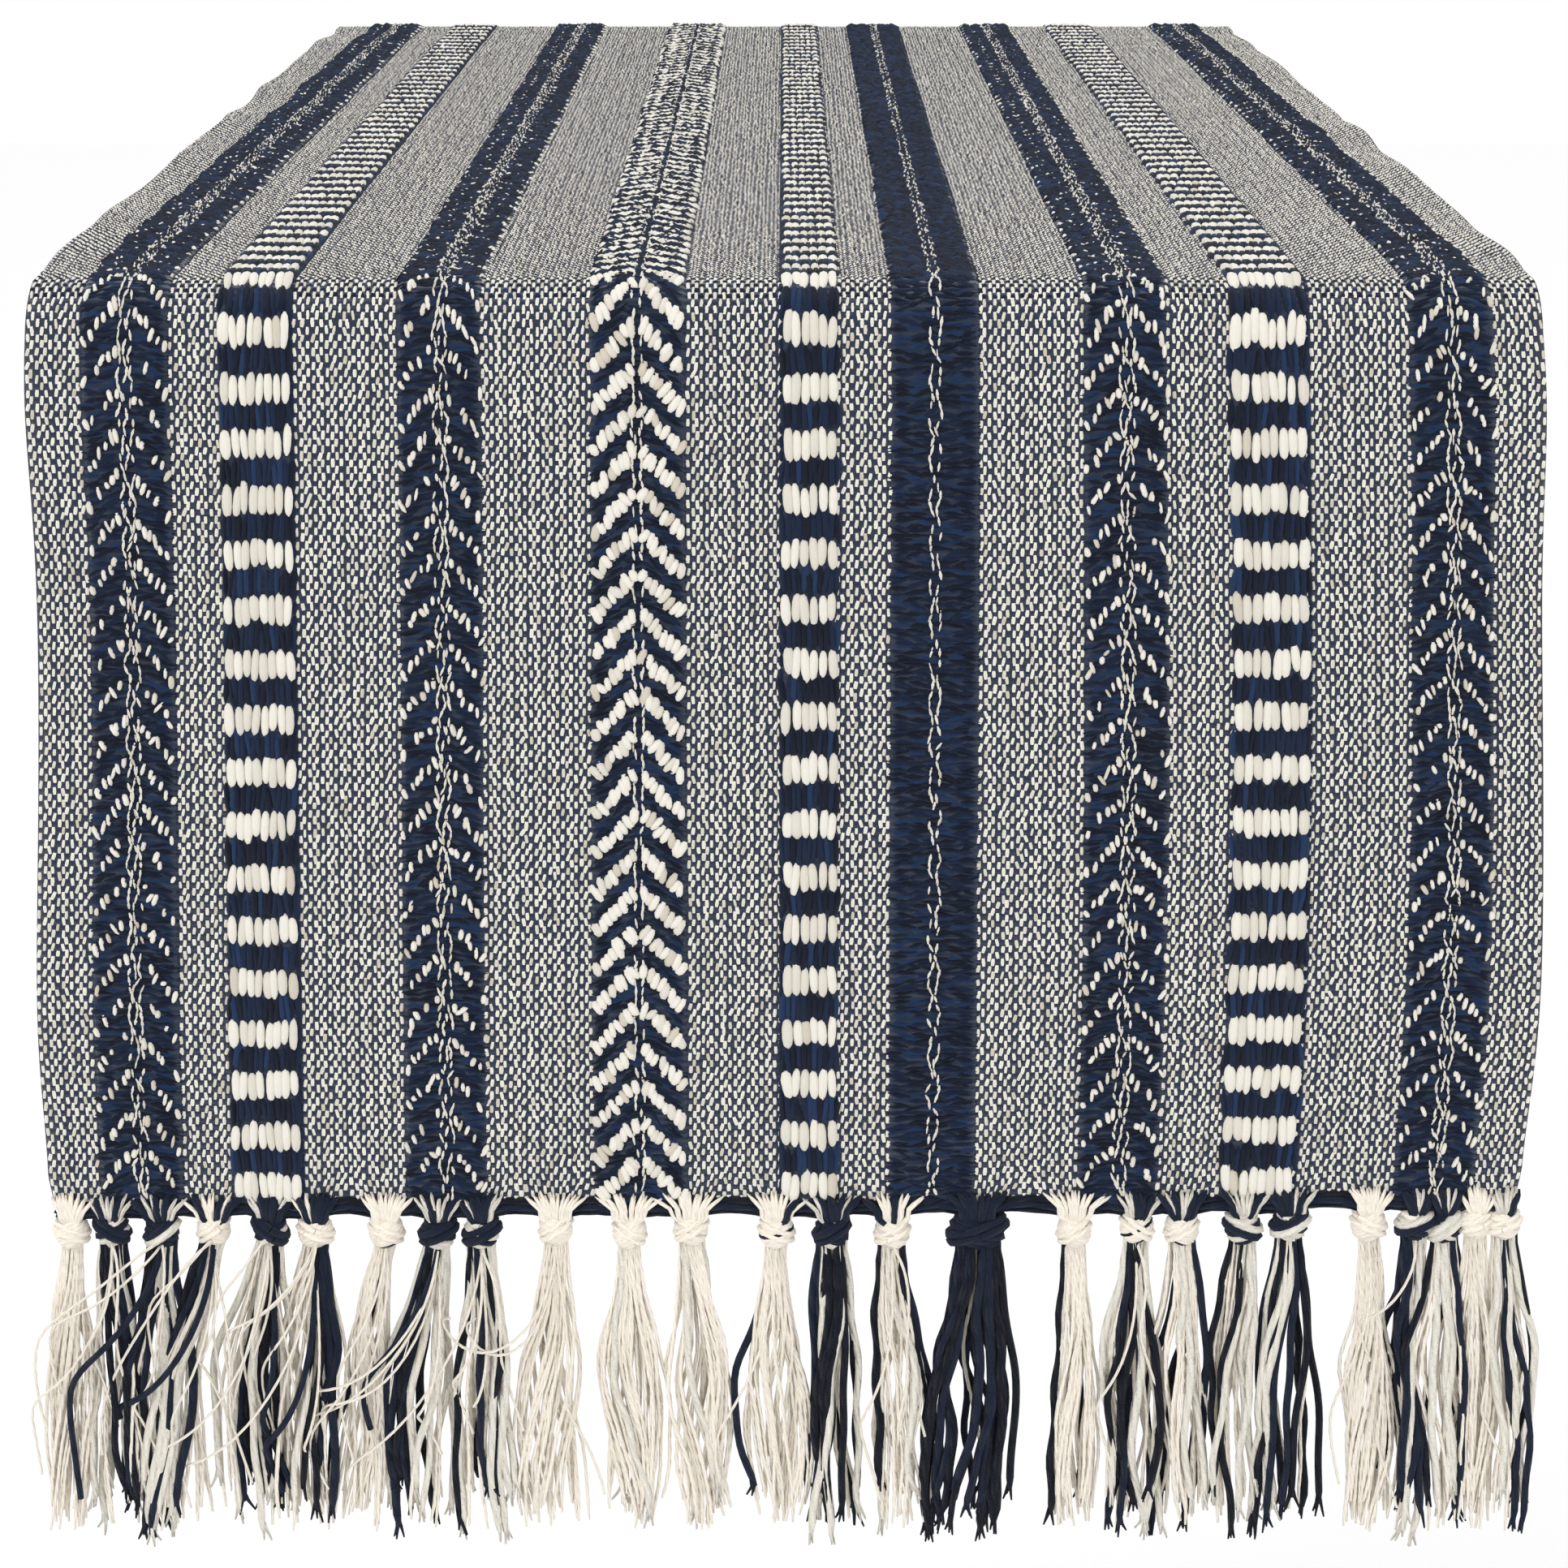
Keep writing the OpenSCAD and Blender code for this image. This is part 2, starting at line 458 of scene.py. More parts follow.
def stitch_tree():
    """Lays one stitch on every point of a flat plan and wraps the plan onto the cloth."""
    nodes, given = start_tree("lay_stitches", {
        "Plan": "Geometry", "Cloth": "Object", "Stitch": "Object", "Cloth width": "Float",
        "Cloth length": "Float", **dict.fromkeys(stitch_yarns, "Material")})
    stitch = nodes.add("GeometryNodeObjectInfo", {"Object": given["Stitch"]})
    spin = nodes.add("ShaderNodeCombineXYZ", {2: stored(nodes, "turn", "FLOAT")})
    laid = nodes.add("GeometryNodeInstanceOnPoints", {
        "Points": given["Plan"], "Instance": stitch.outputs["Geometry"],
        "Rotation": nodes.add("FunctionNodeEulerToRotation", {0: spin.outputs[0]}).outputs[0],
        "Scale": stored(nodes, "size", "FLOAT_VECTOR")})
    real = nodes.add("GeometryNodeRealizeInstances", {0: laid.outputs[0]})

    place = nodes.add("GeometryNodeInputPosition")
    parts = nodes.add("ShaderNodeSeparateXYZ", {0: place.outputs[0]})
    share_u = nodes.math("ADD", nodes.math("DIVIDE", parts.outputs[0], given["Cloth width"]), 0.5)
    share_v = nodes.math("ADD", nodes.math("DIVIDE", parts.outputs[1], given["Cloth length"]), 0.5)
    share = nodes.add("ShaderNodeCombineXYZ", {0: share_u, 1: share_v})
    cloth = nodes.add("GeometryNodeObjectInfo", {"Object": given["Cloth"]})
    flat = stored(nodes, "flat", "FLOAT_VECTOR")
    found = []
    for kind in ("GeometryNodeInputPosition", "GeometryNodeInputNormal"):
        sample = nodes.add("GeometryNodeSampleUVSurface", data_type="FLOAT_VECTOR")
        for index, source in enumerate((cloth.outputs["Geometry"], nodes.add(kind).outputs[0],
                                        flat, share.outputs[0])):
            nodes.tree.links.new(source, sample.inputs[index])
        found.append(sample.outputs[0])
    lifted = nodes.add("ShaderNodeVectorMath", {0: found[1], "Scale": parts.outputs[2]},
                       operation="SCALE")
    target = nodes.add("ShaderNodeVectorMath", {0: found[0], 1: lifted.outputs[0]},
                       operation="ADD")
    placed = nodes.add("GeometryNodeSetPosition", {
        "Geometry": real.outputs[0], "Position": target.outputs[0]})
    return finish_tree(nodes, placed.outputs[0], given, stitch_yarns)


def half_round(name, stations, cross):
    """A stitch one unit wide, long and high: half round across, with tapered ends left open.
    stations holds, from end to end, each section's place, width and height."""
    points, faces = [], []
    for along, wide, high in stations:
        for k in range(cross + 1):
            angle = math.pi * k / cross
            points.append((-0.5 * wide * math.cos(angle), along, high * math.sin(angle)))
    step = cross + 1
    for row in range(len(stations) - 1):
        for k in range(cross):
            a = row * step + k
            faces.append((a, a + 1, a + step + 1, a + step)[::-1])
    thing = new_object(name, new_mesh(name, points, faces))
    thing.data.shade_smooth()
    return thing


def evaluate(thing, name):
    """What the object's modifiers make, as a plain mesh object of its own."""
    graph = bpy.context.evaluated_depsgraph_get()
    mesh = bpy.data.meshes.new_from_object(thing.evaluated_get(graph))
    bpy.data.objects.remove(thing)
    mesh.name = name
    return new_object(name, mesh)


def grow(name, plan, tree, settings):
    """Runs a geometry tree on a plan and returns the plain mesh object that it makes."""
    thing = new_object(name + "_plan", plan)
    modifier = thing.modifiers.new(tree.name, "NODES")
    modifier.node_group = tree
    for item in tree.interface.items_tree:
        if item.in_out == "INPUT" and item.name in settings:
            modifier[item.identifier] = settings[item.name]
    return evaluate(thing, name)


lay_stitches = stitch_tree()


def stitch_piece(name, rows, stitch, yarns):
    """A piece made of many like stitches. Each row of the plan is one stitch: u, v,
    height off the cloth, width, length, thickness, turn and which yarn it is."""
    rows = np.asarray(rows, float)
    plan = new_mesh(name, rows[:, :3], ())
    size = plan.attributes.new("size", "FLOAT_VECTOR", "POINT")
    size.data.foreach_set("vector", rows[:, 3:6].ravel())
    turn = plan.attributes.new("turn", "FLOAT", "POINT")
    turn.data.foreach_set("value", rows[:, 6])
    tone = plan.attributes.new("tone", "INT", "POINT")
    tone.data.foreach_set("value", rows[:, 7].astype(np.int32))
    return grow(name, plan, lay_stitches, {
        "Cloth": laying_surface, "Stitch": stitch, "Cloth width": sample_width,
        "Cloth length": sample_length, **dict(zip(stitch_yarns, yarns))})


def brushed(name, colour, scale, strength, sheen=0.2, stretch=(1.0, 1.0, 1.0)):
    """Cotton whose fine fibres roughen its surface, combed the way that stretch is small."""
    material, nodes, shader = cotton(name, colour, sheen=sheen)
    place = nodes.add("ShaderNodeTexCoord").outputs["Object"]
    combed = nodes.add("ShaderNodeVectorMath", {0: place, 1: stretch}, operation="MULTIPLY")
    fibre = nodes.add("ShaderNodeTexNoise", {
        "Vector": combed.outputs[0], "Scale": scale, "Detail": 4.0, "Roughness": 0.7})
    bump = nodes.add("ShaderNodeBump", {"Strength": strength, "Distance": 0.0005,
                                        "Height": fibre.outputs[0]})
    nodes.tree.links.new(bump.outputs[0], shader.inputs["Normal"])
    return material


ivory_yarns = [
    brushed("ivory_warp", ivory_light, 2600.0, 0.5),
    brushed("ivory_warp_shaded", ivory_mid, 2600.0, 0.5),
    brushed("ivory_warp_warm", ivory_warm, 2600.0, 0.5),
]
navy_yarns = [
    brushed(name, colour, 2000.0, 1.0, 0.08, (0.3, 1.0, 1.0))
    for name, colour in (("navy_weft_deep", navy_deep), ("navy_weft", navy_mid),
                         ("navy_weft_blue", navy_blue))
]

ground_stitch = half_round(
    "ground_stitch", [(-0.5, 0.78, 0.15), (0.0, 1.0, 1.0), (0.5, 0.78, 0.15)], 2)
weftwise = math.pi / 2

lane_edges = [-cloth_width / 2]
for left, right in band_edges:
    lane_edges += [left, right]
lane_edges.append(cloth_width / 2)
lanes = list(zip(lane_edges[0::2], lane_edges[1::2]))

chance = np.random.default_rng(12)
cloth_parts = {"front": [], "back": []}


def picks_of(way):
    """The picks of one half of the cloth, from the middle to just above the hem."""
    count = int(half_length / pick_pitch)
    return np.arange(0, count) if way > 0 else np.arange(-count, 0)


def finish_part(piece, end):
    cross_fold(piece)
    cloth_parts[end].append(piece)


def ground_rows(i, j, width, length, thick, turn):
    """Stitches of the ground at warp ends i and picks j, each a little unlike the next."""
    count = len(i)
    u = i * warp_pitch + 0.00018 * np.sin(j * 0.05 + i * 1.9) + chance.normal(0, 0.00009, count)
    v = (j + 0.5) * pick_pitch + 0.0002 * np.sin(i * 0.11) + chance.normal(0, 0.00013, count)
    tone = chance.choice(3, count, p=[0.66, 0.28, 0.06])
    return np.stack([
        u, v, np.zeros(count), chance.normal(width, width * 0.09, count),
        chance.normal(length, length * 0.08, count), chance.normal(thick, thick * 0.1, count),
        turn + chance.normal(0, 0.13, count), tone], -1)


for end, way in ends.items():
    for number, (left, right) in enumerate(lanes, 1):
        column = np.arange(
            math.ceil(left / warp_pitch + 0.3), math.floor(right / warp_pitch - 0.3) + 1)
        i, j = [part.ravel() for part in np.meshgrid(column, picks_of(way))]
        over = (i + j) % 2 == 0
        warp = ground_rows(i[over], j[over], 0.00092, 0.00205, 0.00055, -0.06)
        finish_part(stitch_piece(f"{end}_ground_{number:02d}", warp, ground_stitch, ivory_yarns),
                    end)
        flat_part = ~over & (np.abs(j * pick_pitch) < flat_half + fold_arc * 0.6)
        weft = ground_rows(i[flat_part], j[flat_part], 0.0013, 0.00125, 0.00043, weftwise)
        finish_part(stitch_piece(f"{end}_picks_{number:02d}", weft, ground_stitch, navy_yarns),
                    end)

# Pattern bands: nine lengthwise strips of brushed navy weft with ivory yarn floating over
# them, in ladders, feathers, a chevron and a braid. Each figure repeats from hem to hem.
weft_float = half_round(
    "weft_float", [(-0.5, 0.3, 0.2), (0.1, 1.0, 1.0), (0.5, 0.15, 0.1)], 2)
plump_float = half_round(
    "plump_float",
    [(-0.5, 0.3, 0.1), (-0.38, 0.78, 0.7), (-0.16, 1.0, 1.0), (0.18, 1.0, 1.0),
     (0.4, 0.74, 0.7), (0.5, 0.3, 0.1)], 4)
navy_float = half_round(
    "navy_float", [(-0.5, 0.2, 0.1), (-0.25, 1.0, 1.0), (0.25, 1.0, 1.0), (0.5, 0.2, 0.1)], 3)
fat_stitch = half_round(
    "fat_stitch", [(-0.5, 0.45, 0.1), (-0.25, 0.95, 0.9), (0.25, 0.95, 0.9), (0.5, 0.45, 0.1)], 4)
small_stitch = half_round(
    "small_stitch", [(-0.5, 0.4, 0.1), (0.0, 1.0, 1.0), (0.5, 0.4, 0.1)], 2)
float_pitch = 0.00118

combed_ivory = [
    brushed(f"ivory_float_{n}", colour, 2200.0, 0.8, 0.2, (1.0, 0.25, 0.25))
    for n, colour in enumerate((ivory_light, ivory_mid, ivory_warm), 1)
]
combed_navy = [
    brushed(f"navy_float_{n}", colour, 2200.0, 1.0, 0.08, (1.0, 0.3, 0.3))
    for n, colour in enumerate((navy_deep, navy_mid, navy_blue), 1)
]


def stitch_row(u, v, width, length, thick, turn=0.0, tone=0, lift=0.0):
    return (u, v, lift, width, length, thick, turn, tone)


def navy_floats(left, right, way, slant):
    """Short navy floats lying across the band, brushed so that they hide each other. They
    slant down and away from the middle of the band."""
    rows = []
    middle = (left + right) / 2
    for n in range(int(half_length / float_pitch)):
        v = way * (n + 0.5) * float_pitch
        u = left - 0.0015 + 0.0018 * chance.random()
        while u < right - 0.001:
            long = chance.uniform(0.0040, 0.0070)
            at = min(u + long / 2, right - long / 2 + 0.0007)
            side = np.clip((at - middle) / 0.004, -1, 1)
            rows.append(stitch_row(
                at, v + chance.normal(0, 0.0003), chance.normal(0.00135, 0.0002), long,
                chance.normal(0.0009, 0.0002), weftwise + side * slant
                + chance.normal(0, 0.2), chance.choice(3, p=[0.4, 0.42, 0.18])))
            u += long * 0.8
    return rows


def thin_chain(middle, way, columns, spacing, wander):
    """Fine ivory ends that wander from side to side and cross down the middle of a band."""
    rows = []
    step, period = 0.0023, 0.0107
    for n in range(int((half_length - 0.003) / step)):
        v = way * (n + 0.5) * step
        for c in range(columns):
            offset = (c - (columns - 1) / 2) * spacing
            turn = 2 * math.pi * v / period + 2.1 * c
            if (n + c) % 2 and chance.random() < 0.35:
                continue
            rows.append(stitch_row(
                middle + offset + wander * math.sin(turn) + chance.normal(0, 0.00018),
                v + chance.normal(0, 0.0003), chance.normal(0.00072, 0.0001),
                chance.normal(0.0025, 0.0003), 0.0008,
                -600 * wander * math.cos(turn) + chance.normal(0, 0.14),
                chance.choice(3, p=[0.7, 0.25, 0.05]), 0.0006))
    return rows


def repeats(period, way, shift):
    """The places along one half of the cloth where a figure of this period starts."""
    count = int(half_length / period) + 1
    places = [(n + shift) * period for n in range(-count, count + 1)]
    return [v for v in places if v * way >= 0 and abs(v) < half_length - 0.004]


def ladder_rows(left, right, way):
    """Blocks of plump ivory warp floats, each block followed by a bare navy block."""
    period, block, bare = 0.0144, 0.0081, 0.0086
    float_width, navy_spacing = 0.0022, 0.00135
    floats = round((right - left) / float_width)
    pitch = (right - left) / floats
    picks = round((right - left) / navy_spacing)
    ivory, navy = [], []
    for v in repeats(period, way, 0.35):
        for f in range(floats):
            u = left + (f + 0.5) * pitch + chance.normal(0, 0.0002)
            ivory.append(stitch_row(
                u, v + chance.normal(0, 0.0005), chance.normal(pitch * 1.08, 0.0002),
                chance.normal(block, 0.0006), chance.normal(0.0013, 0.0001),
                chance.normal(0, 0.05), chance.choice(3, p=[0.6, 0.38, 0.02]), 0.0002))
    for v in repeats(period, way, 0.85):
        for f in range(picks + 1):
            u = left + f * (right - left) / picks + chance.normal(0, 0.0002)
            navy.append(stitch_row(
                u, v + chance.normal(0, 0.0004), chance.normal(0.0018, 0.0002),
                chance.normal(bare, 0.0006), 0.0011, chance.normal(0, 0.1),
                chance.choice(3, p=[0.42, 0.42, 0.16])))
    return ivory, navy


def feather_rows(middle, half, way):
    """Short ivory slivers that fall away to both sides of a thin chain."""
    rows = []
    period, slivers = 0.0108, 6
    for v in repeats(period, way, 0.5):
        for side in (-1, 1):
            for step in range(slivers):
                if chance.random() < 0.12:
                    continue
                rows.append(stitch_row(
                    middle + side * (0.0024 + 0.00145 * step + chance.normal(0, 0.0003)),
                    v + 0.0012 - 0.00115 * step - 0.00012 * step**2 - 0.0009 * side
                    + chance.normal(0, 0.0004),
                    chance.normal(0.00135 - 0.00006 * step, 0.00018),
                    chance.normal(0.0029, 0.0005), 0.0012, -side * 0.12 + chance.normal(0, 0.24),
                    chance.choice(3, p=[0.66, 0.27, 0.07]), 0.0003))
    return rows


def chevron_rows(middle, half, way):
    """Fat ivory stitches in arms that fall outward from the middle, like roof tiles."""
    rows = []
    period, tiles = 0.0107, 8
    for v in repeats(period, way, 0.5):
        for side in (-1, 1):
            for step in range(tiles):
                away = 0.0015 + step * (half - 0.0027) / (tiles - 1)
                rows.append(stitch_row(
                    middle + side * (away + chance.normal(0, 0.00025)),
                    v + 0.0045 - 0.00140 * step + chance.normal(0, 0.0003),
                    chance.normal(0.0022, 0.0002), chance.normal(0.0042, 0.0005), 0.0013,
                    -side * 0.34 + chance.normal(0, 0.24),
                    chance.choice(3, p=[0.66, 0.26, 0.08]), 0.0004))
    return rows


def settle(rows, share, sunk=0.75):
    """Presses a piece's stitches down by share where the cloth lies on the table."""
    rows = np.array(rows)
    flat = ease((flat_half + fold_arc * 0.6 - np.abs(rows[:, 1])) / 0.012)
    rows[:, 2] *= 1 - sunk * flat
    rows[:, 5] *= 1 + (share - 1) * flat
    return rows


def band_pieces(number, kind, left, right, end, way):
    """The pieces of one band on one half of the cloth."""
    middle, half = (left + right) / 2, (right - left) / 2
    made = []
    label = f"{end}_{kind}_{number}"
    if kind == "ladder":
        ivory, navy = ladder_rows(left, right, way)
        edge = right + 0.0005 if middle > 0.05 or middle < 0 else left - 0.0005
        seam_step = 0.0036
        seam = [stitch_row(edge, way * (n + 0.5) * seam_step, 0.0012, 0.0034, 0.0007, 0.0, 1)
                for n in range(int(half_length / seam_step))]
        made.append((label + "_floats", settle(ivory, 0.76), plump_float, combed_ivory))
        made.append((label + "_navy", settle(navy + seam, 0.95), navy_float, combed_navy))
    else:
        slant = {"feather": -0.2, "chevron": -0.5, "braid": 0.0}[kind]
        navy = navy_floats(left, right, way, slant)
        made.append((label + "_navy", settle(navy, 1.12), weft_float, navy_yarns))
        columns = {"feather": (3, 0.0013, 0.0004), "chevron": (2, 0.0021, 0.0002),
                   "braid": (2, 0.0018, 0.0004)}[kind]
        chain = settle(thin_chain(middle, way, *columns), 0.95, 0.35)
        made.append((label + "_chain", chain, small_stitch, ivory_yarns))
        figure = {"feather": feather_rows, "chevron": chevron_rows}.get(kind)
        if figure:
            rows = settle(figure(middle, half, way), 0.5 if kind == "feather" else 0.8)
            made.append((label + "_figure", rows, fat_stitch, ivory_yarns))
    return made


for number, ((left, right), (m, w, kind)) in enumerate(zip(band_edges, bands), 1):
    for end, way in ends.items():
        for name, rows, stitch, yarns in band_pieces(number, kind, left, right, end, way):
            finish_part(stitch_piece(name, rows, stitch, yarns), end)

# Spun yarns: everything below the hem is free cotton yarn, thin and tightly plied ivory,
# thick soft ivory or thick brushed navy. Each is a tube along its own path, with the
# twist of its plies pressed into its surface.


def yarn_tree():
    """Turns the paths of a plan into round yarns, each with its own thickness and yarn."""
    names = ("Thin ivory", "Thick ivory", "Navy", "Dark navy")
    nodes, given = start_tree("spin_yarns", {
        "Paths": "Geometry", "Sides": "Int", **dict.fromkeys(names, "Material")})
    curve = nodes.add("GeometryNodeMeshToCurve", {0: given["Paths"]}).outputs[0]
    walk = nodes.add("GeometryNodeSplineParameter")
    marked = nodes.add("GeometryNodeStoreNamedAttribute", {
        "Geometry": curve, "Name": "along", "Value": walk.outputs["Length"]},
        data_type="FLOAT", domain="POINT")
    ring = nodes.add("GeometryNodeCurvePrimitiveCircle", {
        "Resolution": given["Sides"], "Radius": 1.0})
    rim = nodes.add("GeometryNodeStoreNamedAttribute", {
        "Geometry": ring.outputs[0], "Name": "rim",
        "Value": nodes.add("GeometryNodeInputPosition").outputs[0]},
        data_type="FLOAT_VECTOR", domain="POINT")
    tube = nodes.add("GeometryNodeCurveToMesh", {
        "Curve": marked.outputs[0], "Profile Curve": rim.outputs[0],
        "Scale": stored(nodes, "thick", "FLOAT"), "Fill Caps": True})
    real = nodes.add("GeometryNodeRealizeInstances", {0: tube.outputs[0]})
    return finish_tree(nodes, real.outputs[0], given, names)


spin_yarns = yarn_tree()


def plied(name, colour, plies, pitch, depth, sheen=0.2):
    """Plied cotton: a twisted groove between the plies, and a fine fuzz over all."""
    material, nodes, shader = cotton(name, colour, sheen=sheen)
    rim = nodes.add("ShaderNodeAttribute", attribute_name="rim").outputs["Vector"]
    parts = nodes.add("ShaderNodeSeparateXYZ", {0: rim})
    angle = nodes.math("ARCTAN2", parts.outputs[1], parts.outputs[0])
    along = nodes.add("ShaderNodeAttribute", attribute_name="along").outputs["Fac"]
    phase = nodes.math("ADD", nodes.math("MULTIPLY", angle, float(plies)),
                       nodes.math("MULTIPLY", along, 2 * math.pi / pitch))
    ply = nodes.math("ABSOLUTE", nodes.math("COSINE", nodes.math("MULTIPLY", phase, 0.5)))
    place = nodes.add("ShaderNodeTexCoord").outputs["Object"]
    fibre = nodes.add("ShaderNodeTexNoise", {"Vector": place, "Scale": 2400.0, "Detail": 3.0})
    high = nodes.math("ADD", ply, nodes.math("MULTIPLY", fibre.outputs[0], 0.8))
    bump = nodes.add("ShaderNodeBump", {"Strength": 1.0, "Distance": depth, "Height": high})
    nodes.tree.links.new(bump.outputs[0], shader.inputs["Normal"])
    return material


yarn_finishes = {
    "Thin ivory": plied("thin_ivory_yarn", shade(248, 240, 226), 2, 0.0042, 0.0003),
    "Thick ivory": plied("thick_ivory_yarn", shade(243, 238, 225), 2, 0.0085, 0.0008),
    "Navy": plied("navy_yarn", shade(25, 34, 54), 2, 0.0085, 0.0009, 0.06),
    "Dark navy": plied("dark_navy_yarn", shade(18, 22, 35), 2, 0.0085, 0.0009, 0.06),
}
thin, soft, navy, dark = range(4)


def yarn_piece(name, yarns, sides=5):
    """A piece of several yarns. Each yarn is its path, its radius along it and its kind."""
    points, links, radii, kinds = [], [], [], []
    for path, radius, kind in yarns:
        start = len(points)
        points += [tuple(p) for p in path]
        links += [(start + n, start + n + 1) for n in range(len(path) - 1)]
        radii += list(np.broadcast_to(radius, len(path)))
        kinds += [kind] * len(path)
    plan = new_mesh(name, points, (), links)
    plan.attributes.new("thick", "FLOAT", "POINT").data.foreach_set("value", radii)
    plan.attributes.new("tone", "INT", "POINT").data.foreach_set("value", kinds)
    return grow(name, plan, spin_yarns, {"Sides": sides, **yarn_finishes})


# Headings: at each hem a few thick navy wefts close the cloth. They ride up between the
# knots and dip into them, and short ivory ends of the warp cross them on their way down.


def hem_point(u, end, below=0.0, outward=0.0):
    """A point on the hem of one end, below it and out of the cloth's middle."""
    place = lay(u, ends[end] * half_length, outward)
    place[..., 2] -= below
    return place


for end in ends:
    yarns = []
    walk = np.linspace(-cloth_width / 2 + 0.0006, cloth_width / 2 - 0.0006, 240)
    for n, (below, out, radius) in enumerate(
            [(-0.0014, 0.0008, 0.0010), (0.0003, 0.0009, 0.0011), (0.0016, 0.0001, 0.0010),
             (0.0002, -0.0009, 0.0011)]):
        path = hem_point(walk, end, below, out)
        path[:, 2] += 0.0003 * np.sin(walk / 0.0031 + n) + chance.normal(0, 0.00008, len(walk))
        yarns.append((path, radius * (1 + 0.12 * np.sin(walk / 0.0023 + 2 * n)),
                      navy if n % 2 else dark))
    piece = yarn_piece(end + "_hem_heading", yarns, sides=8)
    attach(piece, end + "_end")
    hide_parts(end + "_heading")
    cloth_parts[end].append(piece)

# Warp fans: above each knot the warp ends leave their places in the cloth and close up
# like a fan, over the heading and into the knot.
fan_half_width = 0.0096
fan = np.linspace(0.0, 1.0, 7)
fan_in = 1 - 0.87 * fan**1.15
for end, way in ends.items():
    yarns = []
    for number, (x, thin_count, soft_count, navy_count, *_) in enumerate(tassels):
        middle = x / 1000
        gaps = np.abs(np.delete(knot_x, number) - middle)
        wide = min(fan_half_width, gaps.min() * 0.6)
        ivory_share = (thin_count + soft_count * 2) / (thin_count + (soft_count + navy_count) * 2)
        strands = 13 if navy_count < 3 else 8
        for k in range(strands):
            part = (k + 0.5) / strands * 2 - 1
            reach = 0.0046 - 0.0024 * part**2 + 0.0014 * chance.random()
            rise = reach * (1 - fan) ** 1.1 - 0.0042 * fan**2
            out = 0.0012 + 0.0016 * np.sin(math.pi * np.clip(fan, 0, 1) ** 0.8)
            u = middle + (part + chance.normal(0, 0.06)) * wide * fan_in
            path = np.array([
                lay(a, way * (half_length - r), o)
                if r > 0 else hem_point(middle, end, -r, o) + np.array([a - middle, 0.0, 0.0])
                for a, r, o in zip(u, rise, out)])
            is_ivory = chance.random() < ivory_share
            radius = chance.uniform(0.0005, 0.00075) if is_ivory else 0.0011
            yarns.append((path, radius * np.array([0.3, 0.8, 1, 1, 1, 1, 0.9]),
                          (soft if soft_count > 2 else thin) if is_ivory else navy))
    piece = yarn_piece(end + "_warp_fans", yarns, sides=5)
    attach(piece, end + "_end")
    cloth_parts[end].append(piece)

# Tassels: each group of warp ends is tied in one overhand knot right under the heading
# and left to hang. The ends are cut by hand, so that their tips are a little uneven.
tip_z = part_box("front_tassel_01")[0][2]
knot_drop = 0.0048
navy_bundle = 12


def wound_knot(centre, radius, kinds, rng, wide=1.0):
    """The wraps of one knot: a tilted belt of yarns round the gathered bundle, and one
    more turn that comes over its front."""
    core = centre + np.outer(np.linspace(1.0, -1.0, 5), (0.0, 0.0, radius))
    fine = kinds.count(thin) > len(kinds) / 2
    wound = [k for k in kinds if k != thin] + [thin] * (kinds.count(thin) // 5)
    middle = thin if fine else navy if kinds.count(navy) > kinds.count(soft) + 1 else soft
    wraps = [(core, radius * np.array([0.35, 0.7, 0.78, 0.7, 0.4]), middle)]
    tilt = rng.choice([-1, 1]) * rng.uniform(0.3, 0.6)
    turns = 9 if fine else 5
    for n in range(turns + 2):
        level = (n - (turns - 1) / 2) / ((turns - 1) / 2) if n < turns else 0.4 - 0.6 * (n - turns)
        slope = tilt if n < turns else -1.2 * tilt
        around = np.linspace(0, 2 * math.pi, 15) + rng.uniform(0, 6.28)
        thickness = rng.uniform(0.0007, 0.0009) if fine else rng.uniform(0.0011, 0.0014)
        girth = radius * math.sqrt(max(0.3, 1 - 0.6 * level**2)) - thickness * 0.6
        if n >= turns:
            girth += thickness * 0.8
        east, up = np.cos(around) * girth * wide, level * radius * 0.8
        ring = np.stack([
            centre[0] + east * math.cos(slope) - up * math.sin(slope) * 0.6,
            centre[1] + girth * np.sin(around) * 0.8,
            centre[2] + east * math.sin(slope) / wide + up * math.cos(slope)], -1)
        wraps.append((ring, thickness, thin if fine and n % 4 else int(rng.choice(wound))))
    return wraps


def hanging_strand(start, tip, round_at, swell, lock, crinkle, rng, count):
    """A yarn that leaves the knot, swells out and falls to its tip. It turns round the
    middle of the tassel with its neighbours and sways with its own lock of yarns."""
    t = np.linspace(0, 1, count)
    settled = 1 - (1 - t) ** 1.8
    path = np.outer(1 - settled, start) + np.outer(settled, tip)
    path[:, 2] = start[2] + (tip[2] - start[2]) * t
    reach, angle, twist = round_at
    width = reach * (0.3 + 0.6 * ease(t * 1.8) + 0.1 * t + swell * np.sin(math.pi * t))
    path[:, 0] += width * np.cos(angle + twist * t)
    path[:, 1] += 0.55 * width * np.sin(angle + twist * t)
    size, cycles, phase = lock
    phase = phase + rng.normal(0, 0.18)
    path[:, 0] += size * (np.sin(2 * math.pi * cycles * t + phase) - math.sin(phase)) * ease(t * 2)
    path[:, 1] += 0.5 * size * np.sin(2 * math.pi * cycles * t + phase + 1.4) * ease(t * 3)
    turns = rng.uniform(0.6, 1.2) * abs(start[2] - tip[2]) / 0.024
    kink = crinkle * ease(t * 5)
    path[:, 0] += kink * np.sin(2 * math.pi * turns * t + 2 * phase)
    path[:, 1] += kink * np.cos(2 * math.pi * turns * t + 2 * phase)
    return path


